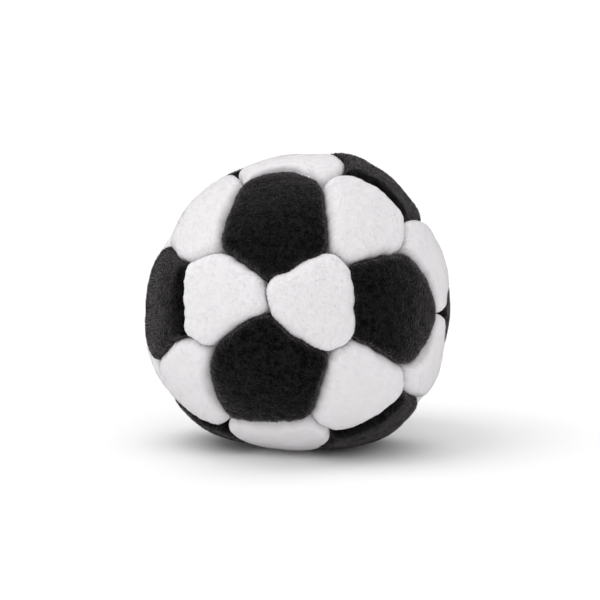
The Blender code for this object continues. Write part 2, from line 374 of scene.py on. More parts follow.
def cover_radius(directions):
    """Distance from the middle of the ball to the crown of the cover, before it stands."""
    right, up, toward = view_axes()
    hours = len(CLOCK_SWELL_SHARES)
    clock = np.arctan2(directions @ right, directions @ up) / math.tau * hours % hours
    hour = clock.astype(int)
    blend = clock - hour
    blend = blend * blend * (3 - 2 * blend)
    shares = np.array(CLOCK_SWELL_SHARES)
    here = shares[hour % hours]
    following = shares[(hour + 1) % hours]
    sideways = 1 - (directions @ toward) ** 2
    return BALL_RADIUS * (1 + (here + (following - here) * blend) * sideways)


def place(directions, depth, below=0.0):
    """Points at a depth below the crown, on a layer below the outer face, flattened at the foot."""
    radius = cover_radius(directions) - depth - below
    groove = np.maximum(depth - SEAM_DEPTH + FOOT_SEAM_RISE, 0)
    lowest = below + groove - BALL_MIDDLE[2] - FOOT_SINK
    to_floor = lowest / np.minimum(directions[..., 2], -HIGHEST_FOOT_SLOPE)
    near_edge = (1 - np.abs(radius - to_floor) / FOOT_ROUNDING).clip(0, None)
    radius = np.minimum(radius, to_floor) - near_edge ** 2 * FOOT_ROUNDING / 4
    return BALL_MIDDLE + directions * radius[..., None]


def read_direction(pixel):
    """Direction from the ball's middle to the point on the seam lines seen at a pixel."""
    right, up, toward = view_axes()
    across = (pixel[0] - BALL_MIDDLE_PX[0]) / BALL_RADIUS_PX * BALL_SPREAD
    rise = (BALL_MIDDLE_PX[1] - pixel[1]) / BALL_RADIUS_PX * BALL_SPREAD
    eye = toward * CAMERA_DISTANCE
    ray = unit(right * across + up * rise - toward)
    miss = eye + ray * -(eye @ ray)
    direction = unit(miss)
    for _ in range(READING_ROUNDS):
        radius = cover_radius(direction[None])[0] - SEEN_SEAM_DEPTH
        reach = math.sqrt(max(radius ** 2 - miss @ miss, 0))
        direction = unit(miss - ray * reach)
    return direction


def regular_pattern():
    """Black panels' directions, each one's neighbours in order, and the white panels' trios."""
    ball = bmesh.new()
    bmesh.ops.create_icosphere(ball, subdivisions=1, radius=1)
    turn = Euler([math.radians(angle) for angle in PATTERN_TURN_DEG]).to_matrix()
    bmesh.ops.rotate(ball, verts=ball.verts, matrix=turn)
    ball.verts.ensure_lookup_table()
    middles = [vertex.co.normalized() for vertex in ball.verts]
    neighbours = []
    for vertex in ball.verts:
        axis = middles[vertex.index]
        side = axis.orthogonal().normalized()
        others = [edge.other_vert(vertex).index for edge in vertex.link_edges]
        others.sort(key=lambda other: math.atan2(middles[other].dot(axis.cross(side)),
                                                 middles[other].dot(side)))
        neighbours.append(others)
    trios = [tuple(vertex.index for vertex in face.verts) for face in ball.faces]
    ball.free()
    return np.array([tuple(middle) for middle in middles]), neighbours, trios


def seam_corners(middles, neighbours):
    """Direction of each seam corner, keyed by its black panel and the one it points at."""
    regular = {}
    for black, others in enumerate(neighbours):
        for other in others:
            way = middles[other] - middles[black]
            regular[black, other] = unit(middles[black] + way * CORNER_SHARE)

    readings = (TOP_PANEL_CORNERS_PX + LOW_PANEL_CORNERS_PX + RIGHT_PANEL_CORNERS_PX
                + LEFT_PANEL_CORNERS_PX + RIM_CORNERS_PX)
    moved = {}
    for pixel in readings:
        seen = read_direction(pixel)
        key = max(regular, key=lambda each: regular[each] @ seen)
        moved[key] = seen - regular[key]

    shifts = {key: moved.get(key, np.zeros(3)) for key in regular}
    for _ in range(EASING_ROUNDS):
        eased = {}
        for black, other in regular:
            ring = neighbours[black]
            spot = ring.index(other)
            beside = (shifts[black, ring[spot - 1]]
                      + shifts[black, ring[(spot + 1) % len(ring)]]
                      + shifts[other, black])
            eased[black, other] = moved.get((black, other), beside / 3)
        shifts = eased
    return {key: unit(regular[key] + shifts[key]) for key in regular}


class Panel:
    """One cloth panel: the directions of its corners in order, and its seam planes' normals."""

    def __init__(self, colour, corners, regular_height):
        self.colour = colour
        self.corners = np.array(corners)
        self.middle = unit(self.corners.sum(0))
        self.regular_height = regular_height
        self.name = ""
        self.number = 0
        self.bows = [0.0] * len(self.corners)
        following = np.roll(self.corners, -1, axis=0)
        self.normals = unit(np.cross(self.corners, following))

    def seam_distances(self, points):
        """How far inside each seam plane the points lie, one column for each seam."""
        return (points - BALL_MIDDLE) @ self.normals.T

    def kept_inside(self, points, gap):
        """The points moved back over the seam planes that they cross."""
        points = points.copy()
        for _ in range(KEEPING_ROUNDS):
            for normal in self.normals:
                over = np.maximum(gap - (points - BALL_MIDDLE) @ normal, 0)
                points += over[:, None] * normal
        return points


def sewn_panels(middles, neighbours, trios, corners):
    """All the panels, the black ones first, numbered downward by their regular heights."""
    blacks = []
    for black, others in enumerate(neighbours):
        ring = [corners[black, other] for other in others]
        blacks.append(Panel("black", ring, middles[black][2]))
    whites = []
    for first, second, third in trios:
        keys = ((first, second), (second, first), (second, third),
                (third, second), (third, first), (first, third))
        height = (middles[first] + middles[second] + middles[third])[2]
        whites.append(Panel("white", [corners[key] for key in keys], height))
    for panels in (blacks, whites):
        panels.sort(key=lambda panel: -panel.regular_height)
        for number, panel in enumerate(panels, 1):
            panel.name = f"{panel.colour}_panel_{number:02d}"
    for number, panel in enumerate(blacks + whites):
        panel.number = number
    return blacks + whites


# The skin of the whole ball, before it is cut into panels

class Skin:
    """Quads over the whole ball. Each panel is a fan of square patches, one at each corner."""

    def __init__(self, panels, steps):
        share = 1 - (1 - np.linspace(0, 1, steps + 1)) ** SEAMWARD_POWER
        outward, around = np.meshgrid(share, share, indexing="ij")
        weights = np.stack([(1 - outward) * (1 - around), outward * (1 - around),
                            outward * around, (1 - outward) * around], -1)
        patches = []
        self.patches_of = []
        for panel in panels:
            before = unit(np.roll(panel.corners, 1, axis=0) + panel.corners)
            after = unit(np.roll(panel.corners, -1, axis=0) + panel.corners)
            self.patches_of.append(range(len(patches), len(patches) + len(panel.corners)))
            for corner, start, end in zip(panel.corners, before, after):
                patches.append(unit(weights @ np.array((panel.middle, start, corner, end))))
        grids = np.array(patches)
        _, first, inverse = np.unique(np.round(grids.reshape(-1, 3), 6), axis=0,
                                      return_index=True, return_inverse=True)
        self.directions = grids.reshape(-1, 3)[first]
        self.index = inverse.reshape(grids.shape[:3])

    def quads(self, panel):
        """The panel's faces, as indices of the skin's points."""
        index = self.index[self.patches_of[panel.number]]
        corners = (index[:, :-1, :-1], index[:, 1:, :-1], index[:, 1:, 1:], index[:, :-1, 1:])
        return np.stack(corners, -1).reshape(-1, 4)

    def rim(self, panel):
        """The points round the panel's seam, in order."""
        rims = []
        for patch in self.index[self.patches_of[panel.number]]:
            rims += [patch[-1, :-1], patch[:0:-1, -1]]
        return np.concatenate(rims)

    def cut_out(self, panel):
        """The panel's own points in the skin, and its faces and its rim as indices of those."""
        own, quads = np.unique(self.quads(panel), return_inverse=True)
        return own, quads.reshape(-1, 4), np.searchsorted(own, self.rim(panel))


def rolled(panel, directions, narrow=0.0, below=0.0):
    """The cover of one panel, with edges that roll inward to its seams."""
    crown = BALL_MIDDLE + directions * cover_radius(directions)[:, None]
    from_seams = panel.seam_distances(crown) - narrow
    shares = (1 - from_seams / COVER_ROLL_WIDTH).clip(0, None)
    share = ((shares ** CORNER_POWER).sum(1) ** (1 / CORNER_POWER)).clip(0, 1)
    height = (1 - share ** ROLL_POWER) ** (1 / ROLL_POWER)
    return place(directions, SEAM_DEPTH * (1 - height), below + NAP_ALLOWANCE)


def read_all(items, name, kind, width):
    """A value of every item, in rows of as many numbers as it has."""
    values = np.empty(len(items) * width, kind)
    items.foreach_get(name, values)
    return values.reshape(-1, width)


def new_object(name, data):
    thing = bpy.data.objects.new(name, data)
    bpy.context.scene.collection.objects.link(thing)
    return thing


def blown_up(panels, skin, cloth):
    """How far each point of the skin moves when the filling pushes it out between its seams."""
    points = np.zeros((len(skin.directions), 3))
    on_seam = np.zeros(len(points), bool)
    for panel in panels:
        inner = np.unique(skin.quads(panel))
        points[inner] = rolled(panel, skin.directions[inner])
        on_seam[skin.rim(panel)] = True
    quads = np.concatenate([skin.quads(panel) for panel in panels])
    points = BALL_MIDDLE + (points - BALL_MIDDLE) * (1 - cloth.slack_share)

    mesh = bpy.data.meshes.new("blown cover")
    mesh.from_pydata((points * CLOTH_SCALE).tolist(), [], quads.tolist())
    cover = new_object("blown cover", mesh)
    seams = cover.vertex_groups.new(name="seams")
    seams.add(np.flatnonzero(on_seam).tolist(), 1.0, "REPLACE")
    solver = cover.modifiers.new("filled", "CLOTH")
    settings = solver.settings
    settings.quality = CLOTH_QUALITY
    settings.vertex_group_mass = "seams"
    settings.use_pressure = True
    settings.uniform_pressure_force = cloth.filling_pressure
    settings.shrink_min = -cloth.spare_cloth
    settings.effector_weights.gravity = 0
    solver.collision_settings.use_collision = False
    solver.collision_settings.use_self_collision = False
    solver.point_cache.frame_start = 1
    solver.point_cache.frame_end = cloth.blown_frames
    scene = bpy.context.scene
    for number in range(1, cloth.blown_frames + 1):
        scene.frame_set(number)
    bpy.context.view_layer.objects.active = cover
    bpy.ops.object.modifier_apply(modifier=solver.name)
    settled = read_all(cover.data.vertices, "co", np.float32, 3)
    scene.frame_set(1)
    bpy.data.objects.remove(cover)

    moves = settled / CLOTH_SCALE - points
    length = np.linalg.norm(moves, axis=1, keepdims=True)
    moves *= np.minimum(1, cloth.largest_move / np.maximum(length, TINY))
    return evened(moves, quads, on_seam)


def evened(moves, quads, held):
    """The moves with small wrinkles averaged away, apart from those of the held points."""
    sides = np.concatenate([quads[:, (0, 1)], quads[:, (1, 2)], quads[:, (2, 3)], quads[:, (3, 0)]])
    neighbours = np.bincount(sides.ravel(), minlength=len(moves))[:, None]
    for _ in range(EVENING_ROUNDS):
        total = np.zeros_like(moves)
        np.add.at(total, sides[:, 0], moves[sides[:, 1]])
        np.add.at(total, sides[:, 1], moves[sides[:, 0]])
        moves = np.where(held[:, None], moves, (moves + total / neighbours) / 2)
    return moves


def between_samples(coarse, fine):
    """Weights that read a smooth curve through evenly spaced samples at finer steps."""
    weights = np.zeros((fine + 1, coarse + 1))
    for row in range(fine + 1):
        spot = row * coarse / fine
        base = min(int(spot), coarse - 1)
        t = spot - base
        cubic = (-t + 2 * t ** 2 - t ** 3, 2 - 5 * t ** 2 + 3 * t ** 3,
                 t + 4 * t ** 2 - 3 * t ** 3, -t ** 2 + t ** 3)
        for offset, weight in zip((-1, 0, 1, 2), cubic):
            sample = base + offset
            weight = weight / 2
            if sample < 0:
                weights[row, 0] += 2 * weight
                weights[row, 1] -= weight
            elif sample > coarse:
                weights[row, coarse] += 2 * weight
                weights[row, coarse - 1] -= weight
            else:
                weights[row, sample] += weight
    return weights


def moved_finely(moves, coarse, fine):
    """The moves of the coarse skin's points, read at the points of the fine one."""
    weights = between_samples(coarse.index.shape[1] - 1, fine.index.shape[1] - 1)
    grids = np.einsum("ai,bj,pijc->pabc", weights, weights, moves[coarse.index])
    result = np.zeros((len(fine.directions), 3))
    result[fine.index.reshape(-1)] = grids.reshape(-1, 3)
    return result


# What the sewing does to the cloth

def seam_waves(count, shortest, longest, rng):
    """A smooth random curve, as wave lengths and phases."""
    lengths = np.exp(rng.uniform(math.log(shortest), math.log(longest), count))
    return lengths, rng.uniform(0, math.tau, count)


def read_waves(waves, along):
    lengths, phases = waves
    total = sum(np.sin(math.tau * along / length + phase) for length, phase in zip(lengths, phases))
    return total / math.sqrt(len(lengths))


class Seam:
    """One side of one seam: distances from it and along it, measured alike from both sides."""

    def __init__(self, panel, side):
        self.bow = panel.bows[side]
        start = panel.corners[side]
        end = panel.corners[(side + 1) % len(panel.corners)]
        self.middle = unit(start + end)
        self.inward = panel.normals[side]
        key = np.round(self.middle * 1000).astype(int)
        self.rng = np.random.default_rng([abs(int(value)) for value in key] + [int(key[0] > 0)])
        self.sign = 1 if tuple(self.inward) > tuple(-self.inward) else -1
        self.along_axis = np.cross(self.inward * self.sign, self.middle)
        self.half_length = math.acos(min(1, start @ self.middle)) * BALL_RADIUS

    def along(self, points):
        offset = points - BALL_MIDDLE
        return np.arctan2(offset @ self.along_axis, offset @ self.middle) * BALL_RADIUS

    def from_seam(self, points):
        return (points - BALL_MIDDLE) @ self.inward

    def bowed(self, along):
        return self.bow * (1 - (along / self.half_length) ** 2).clip(0, None)


def read_bows(panels):
    """Gives both sides of each seam that bows how far it does so, towards the same side."""
    for pixel, shift in SEAM_BOWS_PX:
        there = read_direction(pixel)
        way = read_direction(np.add(pixel, shift)) - there
        found = []
        for panel in panels:
            for side, normal in enumerate(panel.normals):
                seam = Seam(panel, side)
                along = seam.along(BALL_MIDDLE + there)
                if abs(along) < seam.half_length and there @ seam.middle > FACING_COSINE:
                    found.append((abs(normal @ there), panel, side, seam))
        nearest = min(each[0] for each in found)
        for distance, panel, side, seam in found:
            if distance < nearest + ROUNDING:
                panel.bows[side] = way @ seam.inward * seam.sign * BALL_RADIUS


def fading(distances, reach):
    return np.exp(-distances / reach)


def sewn(panel, points, directions, cloth):
    """The cloth pulled in at each stitch, creased off the seams and lumpy over the pellets."""
    crown = BALL_MIDDLE + directions * (cover_radius(directions) - SEAM_DEPTH / 2)[:, None]
    points = panel.kept_inside(points, cloth.seam_gap)
    gather_depth = cloth.gather_depth * (BLACK_GATHER_SHARE if panel.colour == "black" else 1)
    inward = np.zeros(len(points))
    sideways = np.zeros((len(points), 3))
    for side in range(len(panel.corners)):
        seam = Seam(panel, side)
        along = seam.along(crown)
        off = seam.from_seam(crown).clip(0, None)
        within = np.exp(-(along / seam.half_length) ** SEAM_END_POWER)
        wander = seam_waves(*WANDER_WAVES, seam.rng)
        uneven = seam_waves(*STITCH_WAVES, seam.rng)
        stitch = along + read_waves(uneven, along) * cloth.stitch_pitch * STITCH_DRIFT_SHARE
        pulled = 0.5 + 0.5 * np.cos(math.tau * stitch / cloth.stitch_pitch)
        strength = read_waves(uneven, along * PULL_WAVE_STRETCH)
        strength = (1 - PULL_UNEVENNESS) + PULL_UNEVENNESS * strength
        inward += pulled * strength * cloth.pucker_depth * fading(off, PUCKER_REACH) * within
        own = seam_waves(*CREASE_WAVES, np.random.default_rng([panel.number, side]))
        crease = read_waves(own, along + off * CREASE_SLANT)
        inward += crease * gather_depth * fading(off, GATHER_REACH) * within
        shift = read_waves(wander, along) * cloth.seam_wander
        shift += (pulled - 0.5) * cloth.scallop * fading(off, PUCKER_REACH)
        shift *= fading(off, WANDER_REACH)
        shift += seam.bowed(along) * fading(off, BOW_REACH)
        sideways += (shift * within)[:, None] * seam.inward * seam.sign
    for corner in panel.corners:
        away = np.linalg.norm(directions - corner, axis=1) * BALL_RADIUS
        inward += cloth.corner_pull * np.exp(-(away / CORNER_REACH) ** 2)
    lumps = np.array([noise.noise(Vector(point) / LUMP_SIZE) for point in points])
    ripples = np.array([noise.noise(Vector(point) / RIPPLE_SIZE) for point in points])
    outward = lumps * cloth.lump_height + ripples * cloth.ripple_height
    inner = 1 - fading(panel.seam_distances(crown).min(1).clip(0, None), GATHER_REACH)
    points = points + directions * (outward * inner - inward)[:, None] + sideways
    points[:, 2] = np.maximum(points[:, 2], 0)
    return points


# Meshes, objects and Geometry Nodes

def new_mesh(name, points, faces, material):
    mesh = bpy.data.meshes.new(name)
    mesh.from_pydata(points.tolist(), [], faces)
    mesh.materials.append(material)
    mesh.shade_smooth()
    return mesh


def new_piece(name, mesh, replaced=()):
    """A finished piece in the ball's frame, which stands for the solids that it replaces."""
    piece = new_object(name, mesh)
    if replaced:
        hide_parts(*replaced)
    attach(piece, BODY)
    return piece


def new_tree(name, inputs):
    """A Geometry Nodes tree with named inputs. Gives its nodes and its inputs."""
    tree = bpy.data.node_groups.new(name, "GeometryNodeTree")
    kinds = {"Geometry": "NodeSocketGeometry", "Material": "NodeSocketMaterial"}
    for label in ("Geometry", *inputs, "Material"):
        tree.interface.new_socket(name=label, in_out="INPUT",
                                  socket_type=kinds.get(label, "NodeSocketFloat"))
    tree.interface.new_socket(name="Geometry", in_out="OUTPUT", socket_type="NodeSocketGeometry")
    nodes = Nodes(tree)
    return nodes, nodes.add("NodeGroupInput").outputs


def end_tree(nodes, geometry, material):
    real = nodes.add("GeometryNodeRealizeInstances", sockets={"Geometry": geometry})
    painted = nodes.add("GeometryNodeSetMaterial",
                        sockets={"Geometry": real, "Material": material})
    nodes.add("NodeGroupOutput", sockets={"Geometry": painted})
    return nodes.tree


def repeated(nodes, points, shape, turn, size):
    return nodes.add("GeometryNodeInstanceOnPoints", sockets={
        "Points": points, "Instance": shape, "Rotation": turn, "Scale": size})


def random_vector(nodes, lowest, highest, seed):
    return nodes.add("FunctionNodeRandomValue", {"data_type": "FLOAT_VECTOR"},
                     {0: (lowest,) * 3, 1: (highest,) * 3, "Seed": seed})


def random_number(nodes, lowest, highest, seed):
    return nodes.add("FunctionNodeRandomValue", {"data_type": "FLOAT"},
                     {2: lowest, 3: highest, "Seed": seed}).outputs[1]


def vector_maths(nodes, operation, first, second):
    other = "Scale" if operation == "SCALE" else 1
    return nodes.add("ShaderNodeVectorMath", {"operation": operation}, {0: first, other: second})


def named_value(nodes, geometry, kind, domain, name, value):
    return nodes.add("GeometryNodeStoreNamedAttribute", {"data_type": kind, "domain": domain},
                     {"Geometry": geometry, "Name": name, "Value": value})


def grown(name, mesh, tree, values):
    """The plain mesh that a Geometry Nodes tree makes on a mesh."""
    start = new_object(name, mesh)
    modifier = start.modifiers.new(name, "NODES")
    modifier.node_group = tree
    for item in tree.interface.items_tree:
        if item.in_out == "INPUT" and item.name in values:
            modifier[item.identifier] = values[item.name]
    start.update_tag()
    evaluated = start.evaluated_get(bpy.context.evaluated_depsgraph_get())
    result = bpy.data.meshes.new_from_object(evaluated)
    result.name = name
    bpy.data.objects.remove(start)
    return result


def tuft_tree():
    """Leaning spikes all over a mesh, as many as its nap mask lets stand."""
    nodes, given = new_tree("tufts", ("Length", "Width", "Density", "Lean", "Brushed"))
    mask = nodes.add("GeometryNodeInputNamedAttribute", {"data_type": "FLOAT"}, {"Name": NAP_MASK})
    density = Number(nodes, mask.outputs[0]) * Number(nodes, given["Density"])
    smooth = nodes.add("GeometryNodeInputNormal")
    facing = named_value(nodes, given["Geometry"], "FLOAT_VECTOR", "POINT", ROOT_NORMAL, smooth)
    roots = nodes.add("GeometryNodeDistributePointsOnFaces", {"distribute_method": "RANDOM"},
                      {"Mesh": facing, "Density": density, "Seed": 7})
    tuft = nodes.add("GeometryNodeMeshCone", {"fill_type": "NGON"},
                     {"Vertices": 3, "Radius Top": 0.0, "Radius Bottom": given["Width"],
                      "Depth": given["Length"]})
    lean = random_vector(nodes, -1, 1, seed=3)
    leaning = vector_maths(nodes, "SCALE", lean, given["Lean"])
    clumps = nodes.add("ShaderNodeTexNoise", {"noise_dimensions": "3D"},
                       {"Scale": 1 / CLUMP_SIZE, "Detail": 1.0})
    centred = vector_maths(nodes, "SUBTRACT", clumps.outputs["Color"], (0.5, 0.5, 0.5))
    brushed = vector_maths(nodes, "SCALE", centred, given["Brushed"])
    both = vector_maths(nodes, "ADD", leaning, brushed)
    upward = vector_maths(nodes, "ADD", roots.outputs["Normal"], both)
    turn = nodes.add("FunctionNodeAlignRotationToVector", {"axis": "Z"}, {"Vector": upward})
    size = random_number(nodes, *TUFT_SIZES, seed=11)
    tufts = repeated(nodes, roots, tuft, turn, size)
    tone = random_number(nodes, 0.0, 1.0, seed=5)
    toned = named_value(nodes, tufts, "FLOAT", "INSTANCE", TUFT_TONE, tone)
    return end_tree(nodes, toned, given["Material"])


def stretched_balls(nodes, points, turn, length, given):
    """Ends a tree with a rounded shape on each point, stretched to a length and a width."""
    ball = nodes.add("GeometryNodeMeshIcoSphere", sockets={"Radius": 0.5, "Subdivisions": 2})
    size = nodes.add("ShaderNodeCombineXYZ",
                     sockets={"X": length, "Y": given["Width"], "Z": given["Width"]})
    return end_tree(nodes, repeated(nodes, points, ball, turn, size), given["Material"])


def stitch_tree():
    """Short fat stitches end to end along a line of edges."""
    nodes, given = new_tree("stitches", ("Pitch", "Width"))
    line = nodes.add("GeometryNodeMeshToCurve", sockets={"Mesh": given["Geometry"]})
    points = nodes.add("GeometryNodeResampleCurve", {"mode": "LENGTH"},
                       {"Curve": line, "Length": given["Pitch"]})
    tangent = nodes.add("GeometryNodeInputTangent")
    turn = nodes.add("FunctionNodeAlignRotationToVector", {"axis": "X"}, {"Vector": tangent})
    length = Number(nodes, given["Pitch"]) * STITCH_OVERLAP
    return stretched_balls(nodes, points, turn, length, given)


def pellet_tree():
    """A pellet turned at random on each point of a mesh."""
    nodes, given = new_tree("pellets", ("Length", "Width"))
    turn = random_vector(nodes, 0, math.tau, seed=2)
    return stretched_balls(nodes, given["Geometry"], turn, given["Length"], given)


def write_bake_map(mesh, spots):
    layer = mesh.uv_layers.new(name=BAKE_MAP)
    layer.uv.foreach_set("vector", spots.astype(np.float32).reshape(-1))


def cell_map(mesh, faces_each):
    """Bake map of a mesh of like small pieces in triangles: a square each, a cell for each face."""
    count = len(mesh.polygons)
    piece, face = np.divmod(np.arange(count), faces_each)
    squares = math.ceil(math.sqrt(-(-count // faces_each)))
    cells = math.ceil(math.sqrt(faces_each))
    square = np.stack([piece % squares, piece // squares], 1)[:, None]
    cell = np.stack([face % cells, face // cells], 1)[:, None]
    write_bake_map(mesh, (square + (cell + TRIANGLE) / cells) / squares)


def new_beads(name, mesh, tree, values, replaced):
    """One piece of many like rounded shapes, which a tree places on a mesh."""
    beads = grown(name, mesh, tree, values)
    beads.shade_smooth()
    cell_map(beads, SPHERE_FACES)
    new_piece(name, beads, [replaced])


# Materials

def new_material(name, build):
    """A procedural material. build gets its nodes, its surface shader and its coordinates."""
    material = bpy.data.materials.new(name)
    material.use_nodes = True
    tree = material.node_tree
    nodes = Nodes(tree)
    place_on_piece = nodes.add("ShaderNodeTexCoord").outputs["Object"]
    build(nodes, tree.nodes["Principled BSDF"], place_on_piece)
    return material


def mottle(nodes, coordinates, size, detail=2.0, crispness=0.5):
    """Soft random light and dark, in blots of a size."""
    node = nodes.add("ShaderNodeTexNoise", {"noise_dimensions": "3D"},
                     {"Vector": coordinates, "Scale": 1 / size, "Detail": detail,
                      "Roughness": crispness})
    return Number(nodes, node.outputs[0])


def cloth_blots(nodes, coordinates):
    return mottle(nodes, coordinates, BLOT_SIZE, detail=4.0, crispness=0.9)


def shaded(nodes, colour, factor, darkest, lightest):
    """A colour from its darkest to its lightest shade."""
    dark = tuple(channel * darkest for channel in colour)
    light = tuple(channel * lightest for channel in colour)
    node = nodes.add("ShaderNodeMix", {"data_type": "RGBA"},
                     {0: factor, 6: (*dark, 1.0), 7: (*light, 1.0)})
    return node.outputs[2]


def bump(nodes, height, distance, strength):
    return nodes.add("ShaderNodeBump", sockets={
        "Height": height, "Distance": distance, "Strength": strength})


def napped(nodes, surface, shade, normal, roughness, sheen, sheen_tint):
    """Sets the surface of a cloth or of its tufts, with the silvery rim that a nap has."""
    nodes.feed(surface, {
        "Base Color": shade, "Normal": normal, "Roughness": roughness,
        "Specular IOR Level": NAP_GLOSS, "Sheen Weight": sheen,
        "Sheen Roughness": SHEEN_ROUGHNESS, "Sheen Tint": (*sheen_tint, 1.0)})


def cloth_material(colour_name, colour):
    look = LOOKS[colour_name]

    def build(nodes, surface, coordinates):
        blots = cloth_blots(nodes, coordinates)
        fibres = mottle(nodes, coordinates, FIBRE_SIZE, detail=3.0)
        factor = ((blots - 0.5) * BLOT_CONTRAST + (fibres - 0.5) + 0.5).between_0_and_1()
        relief = fibres * FIBRE_HEIGHT + blots * look.clump_height
        napped(nodes, surface, shaded(nodes, colour, factor, *look.shades),
               bump(nodes, relief, 1.0, look.relief_strength), CLOTH_ROUGHNESS, look.sheen,
               look.sheen_tint)
    return new_material(colour_name + " cloth", build)


def tuft_material(colour_name, colour):
    """The tufts' own tones, with normals that lean to those of the cloth at their roots."""
    look = LOOKS[colour_name]

    def build(nodes, surface, coordinates):
        tone = nodes.add("ShaderNodeAttribute", {"attribute_name": TUFT_TONE}).outputs["Fac"]
        root = nodes.add("ShaderNodeAttribute", {"attribute_name": ROOT_NORMAL}).outputs["Vector"]
        blots = cloth_blots(nodes, coordinates)
        tones = Number(nodes, tone) - 0.5
        factor = (tones * TUFT_CONTRAST + (blots - 0.5) * BLOT_CONTRAST + 0.5).between_0_and_1()
        own = nodes.add("ShaderNodeNewGeometry").outputs["Normal"]
        blended = nodes.add("ShaderNodeMix", {"data_type": "VECTOR"},
                            {0: look.tuft_smoothness, 4: own, 5: root})
        smooth = nodes.add("ShaderNodeVectorMath", {"operation": "NORMALIZE"},
                           {0: blended.outputs[1]})
        napped(nodes, surface, shaded(nodes, colour, factor, *look.tuft_shades), smooth,
               blots * 0.1 + 0.85, look.tuft_sheen, look.sheen_tint)
    return new_material(colour_name + " nap", build)


def plain_material(name, colour, size, roughness):
    def build(nodes, surface, coordinates):
        blots = mottle(nodes, coordinates, size)
        nodes.feed(surface, {
            "Base Color": shaded(nodes, colour, blots, darkest=0.85, lightest=1.1),
            "Roughness": (blots * 0.2 + (roughness - 0.1)).between_0_and_1(),
            "Normal": bump(nodes, blots, size / 10, 0.5)})
    return new_material(name, build)


# Panels

def all_panels():
    """The panels, the black ones' middles and neighbours, and all the seam corners."""
    middles, neighbours, trios = regular_pattern()
    corners = seam_corners(middles, neighbours)
    panels = sewn_panels(middles, neighbours, trios, corners)
    read_bows(panels)
    return panels, middles, neighbours, corners


def disc_map(panel, directions):
    """Each direction's place on a flat map of the panel, the middle at 0 and lengths in radians."""
    side = unit(np.cross(panel.middle, panel.corners[0]))
    other = np.cross(side, panel.middle)
    across = directions @ side
    up = directions @ other
    angle = np.arccos((directions @ panel.middle).clip(-1, 1))
    length = np.maximum(np.hypot(across, up), TINY)
    return np.stack([across, up], 1) * (angle / length)[:, None]


def shell_faces(quads, rings, inner_quads, inner_rim):
    """Faces of the outer skin, of the wall between the rings and of the coarser inner side."""
    faces = quads.tolist()
    for upper, lower in zip(rings, rings[1:]):
        faces += np.stack([np.roll(upper, -1), upper, lower, np.roll(lower, -1)], 1).tolist()
    last = rings[-1]
    ratio = len(last) // len(inner_rim)
    starts = np.arange(len(inner_rim))[:, None] * ratio
    many = last[(starts + np.arange(ratio, -1, -1)) % len(last)]
    faces += np.column_stack([many, inner_rim, np.roll(inner_rim, -1)]).tolist()
    return faces + inner_quads[:, ::-1].tolist()


def panel_mesh(panel, skin, inner_skin, moves, cloth, material):
    """Closed mesh of one panel: outer skin, turned edge, raw edge and the cloth's inner side."""
    own, quads, rim = skin.cut_out(panel)
    directions = skin.directions[own]
    outer = sewn(panel, rolled(panel, directions) + moves[own], directions, cloth)
    rows = []
    for below, inset in ((SEAM_ALLOWANCE / 2, 0), (SEAM_ALLOWANCE, 0), (SEAM_ALLOWANCE, FABRIC)):
        row = place(directions[rim], SEAM_DEPTH, below)
        rows.append(panel.kept_inside(row, cloth.seam_gap + inset))
    inner_own, inner_quads, inner_rim = inner_skin.cut_out(panel)
    inside = rolled(panel, inner_skin.directions[inner_own], narrow=FABRIC, below=FABRIC)
    inside = panel.kept_inside(inside, cloth.seam_gap + FABRIC)

    points = np.concatenate([outer, *rows, inside])
    first_inside = len(points) - len(inside)
    rings = [rim] + [np.arange(len(rim)) + len(outer) + row * len(rim) for row in range(len(rows))]
    faces = shell_faces(quads, rings, first_inside + inner_quads, first_inside + inner_rim)
    mesh = new_mesh(panel.name, points, faces, material)

    flat = disc_map(panel, directions)
    reach = np.abs(flat).max() * MAP_MARGIN
    walls = [flat[rim] * (1 + MAP_WALL_STEP * row) for row in range(1, len(rows) + 1)]
    corners = read_all(mesh.loops, "vertex_index", int, 1)[:, 0]
    start = mesh.polygons[len(quads) + len(rows) * len(rim)].loop_start
    front = np.concatenate([flat, *walls])[corners[:start]] / reach * 0.5 + 0.5
    back = disc_map(panel, unit(points[corners[start:]] - BALL_MIDDLE)) / reach * 0.5 + 0.5
    write_bake_map(mesh, np.concatenate([front, back * MAP_BACK_SHARE + MAP_BACK_EDGE]))

    mask = np.zeros(len(points))
    drop = cover_radius(directions) - np.linalg.norm(outer - BALL_MIDDLE, axis=1)
    above = ((outer[:, 2] - NAP_LOWEST) / NAP_LOWEST).clip(0, 1)
    mask[:len(outer)] = above * (NAP_FULLNESS - drop / NAP_DEEPEST).clip(0, 1)
    mesh.attributes.new(NAP_MASK, "FLOAT", "POINT").data.foreach_set("value", mask)
    return mesh


class FOOTBAG_OT_panels(bpy.types.Operator):
    """Blow up the cover, cut it into its panels and gather them along their seams"""
    bl_idname = "footbag.panels"
    bl_label = "Cloth panels"

    def execute(self, context):
        cloth = context.scene.footbag_cloth
        colours = context.scene.footbag_colours
        materials = {name: cloth_material(name, getattr(colours, name)) for name in LOOKS}
        panels = all_panels()[0]
        coarse = Skin(panels, cloth.blown_steps)
        fine = Skin(panels, cloth.blown_steps * cloth.finer)
        inner = Skin(panels, cloth.blown_steps // 2)
        moves = np.zeros((len(fine.directions), 3))
        moves = moved_finely(blown_up(panels, coarse, cloth), coarse, fine)
        for panel in panels:
            mesh = panel_mesh(panel, fine, inner, moves, cloth, materials[panel.colour])
            piece = new_piece("sewn_" + panel.name, mesh, [panel.name])
        return {"FINISHED"}


def joined(name, meshes):
    together = bmesh.new()
    for mesh in meshes:
        together.from_mesh(mesh)
    result = bpy.data.meshes.new(name)
    together.to_mesh(result)
    together.free()
    return result


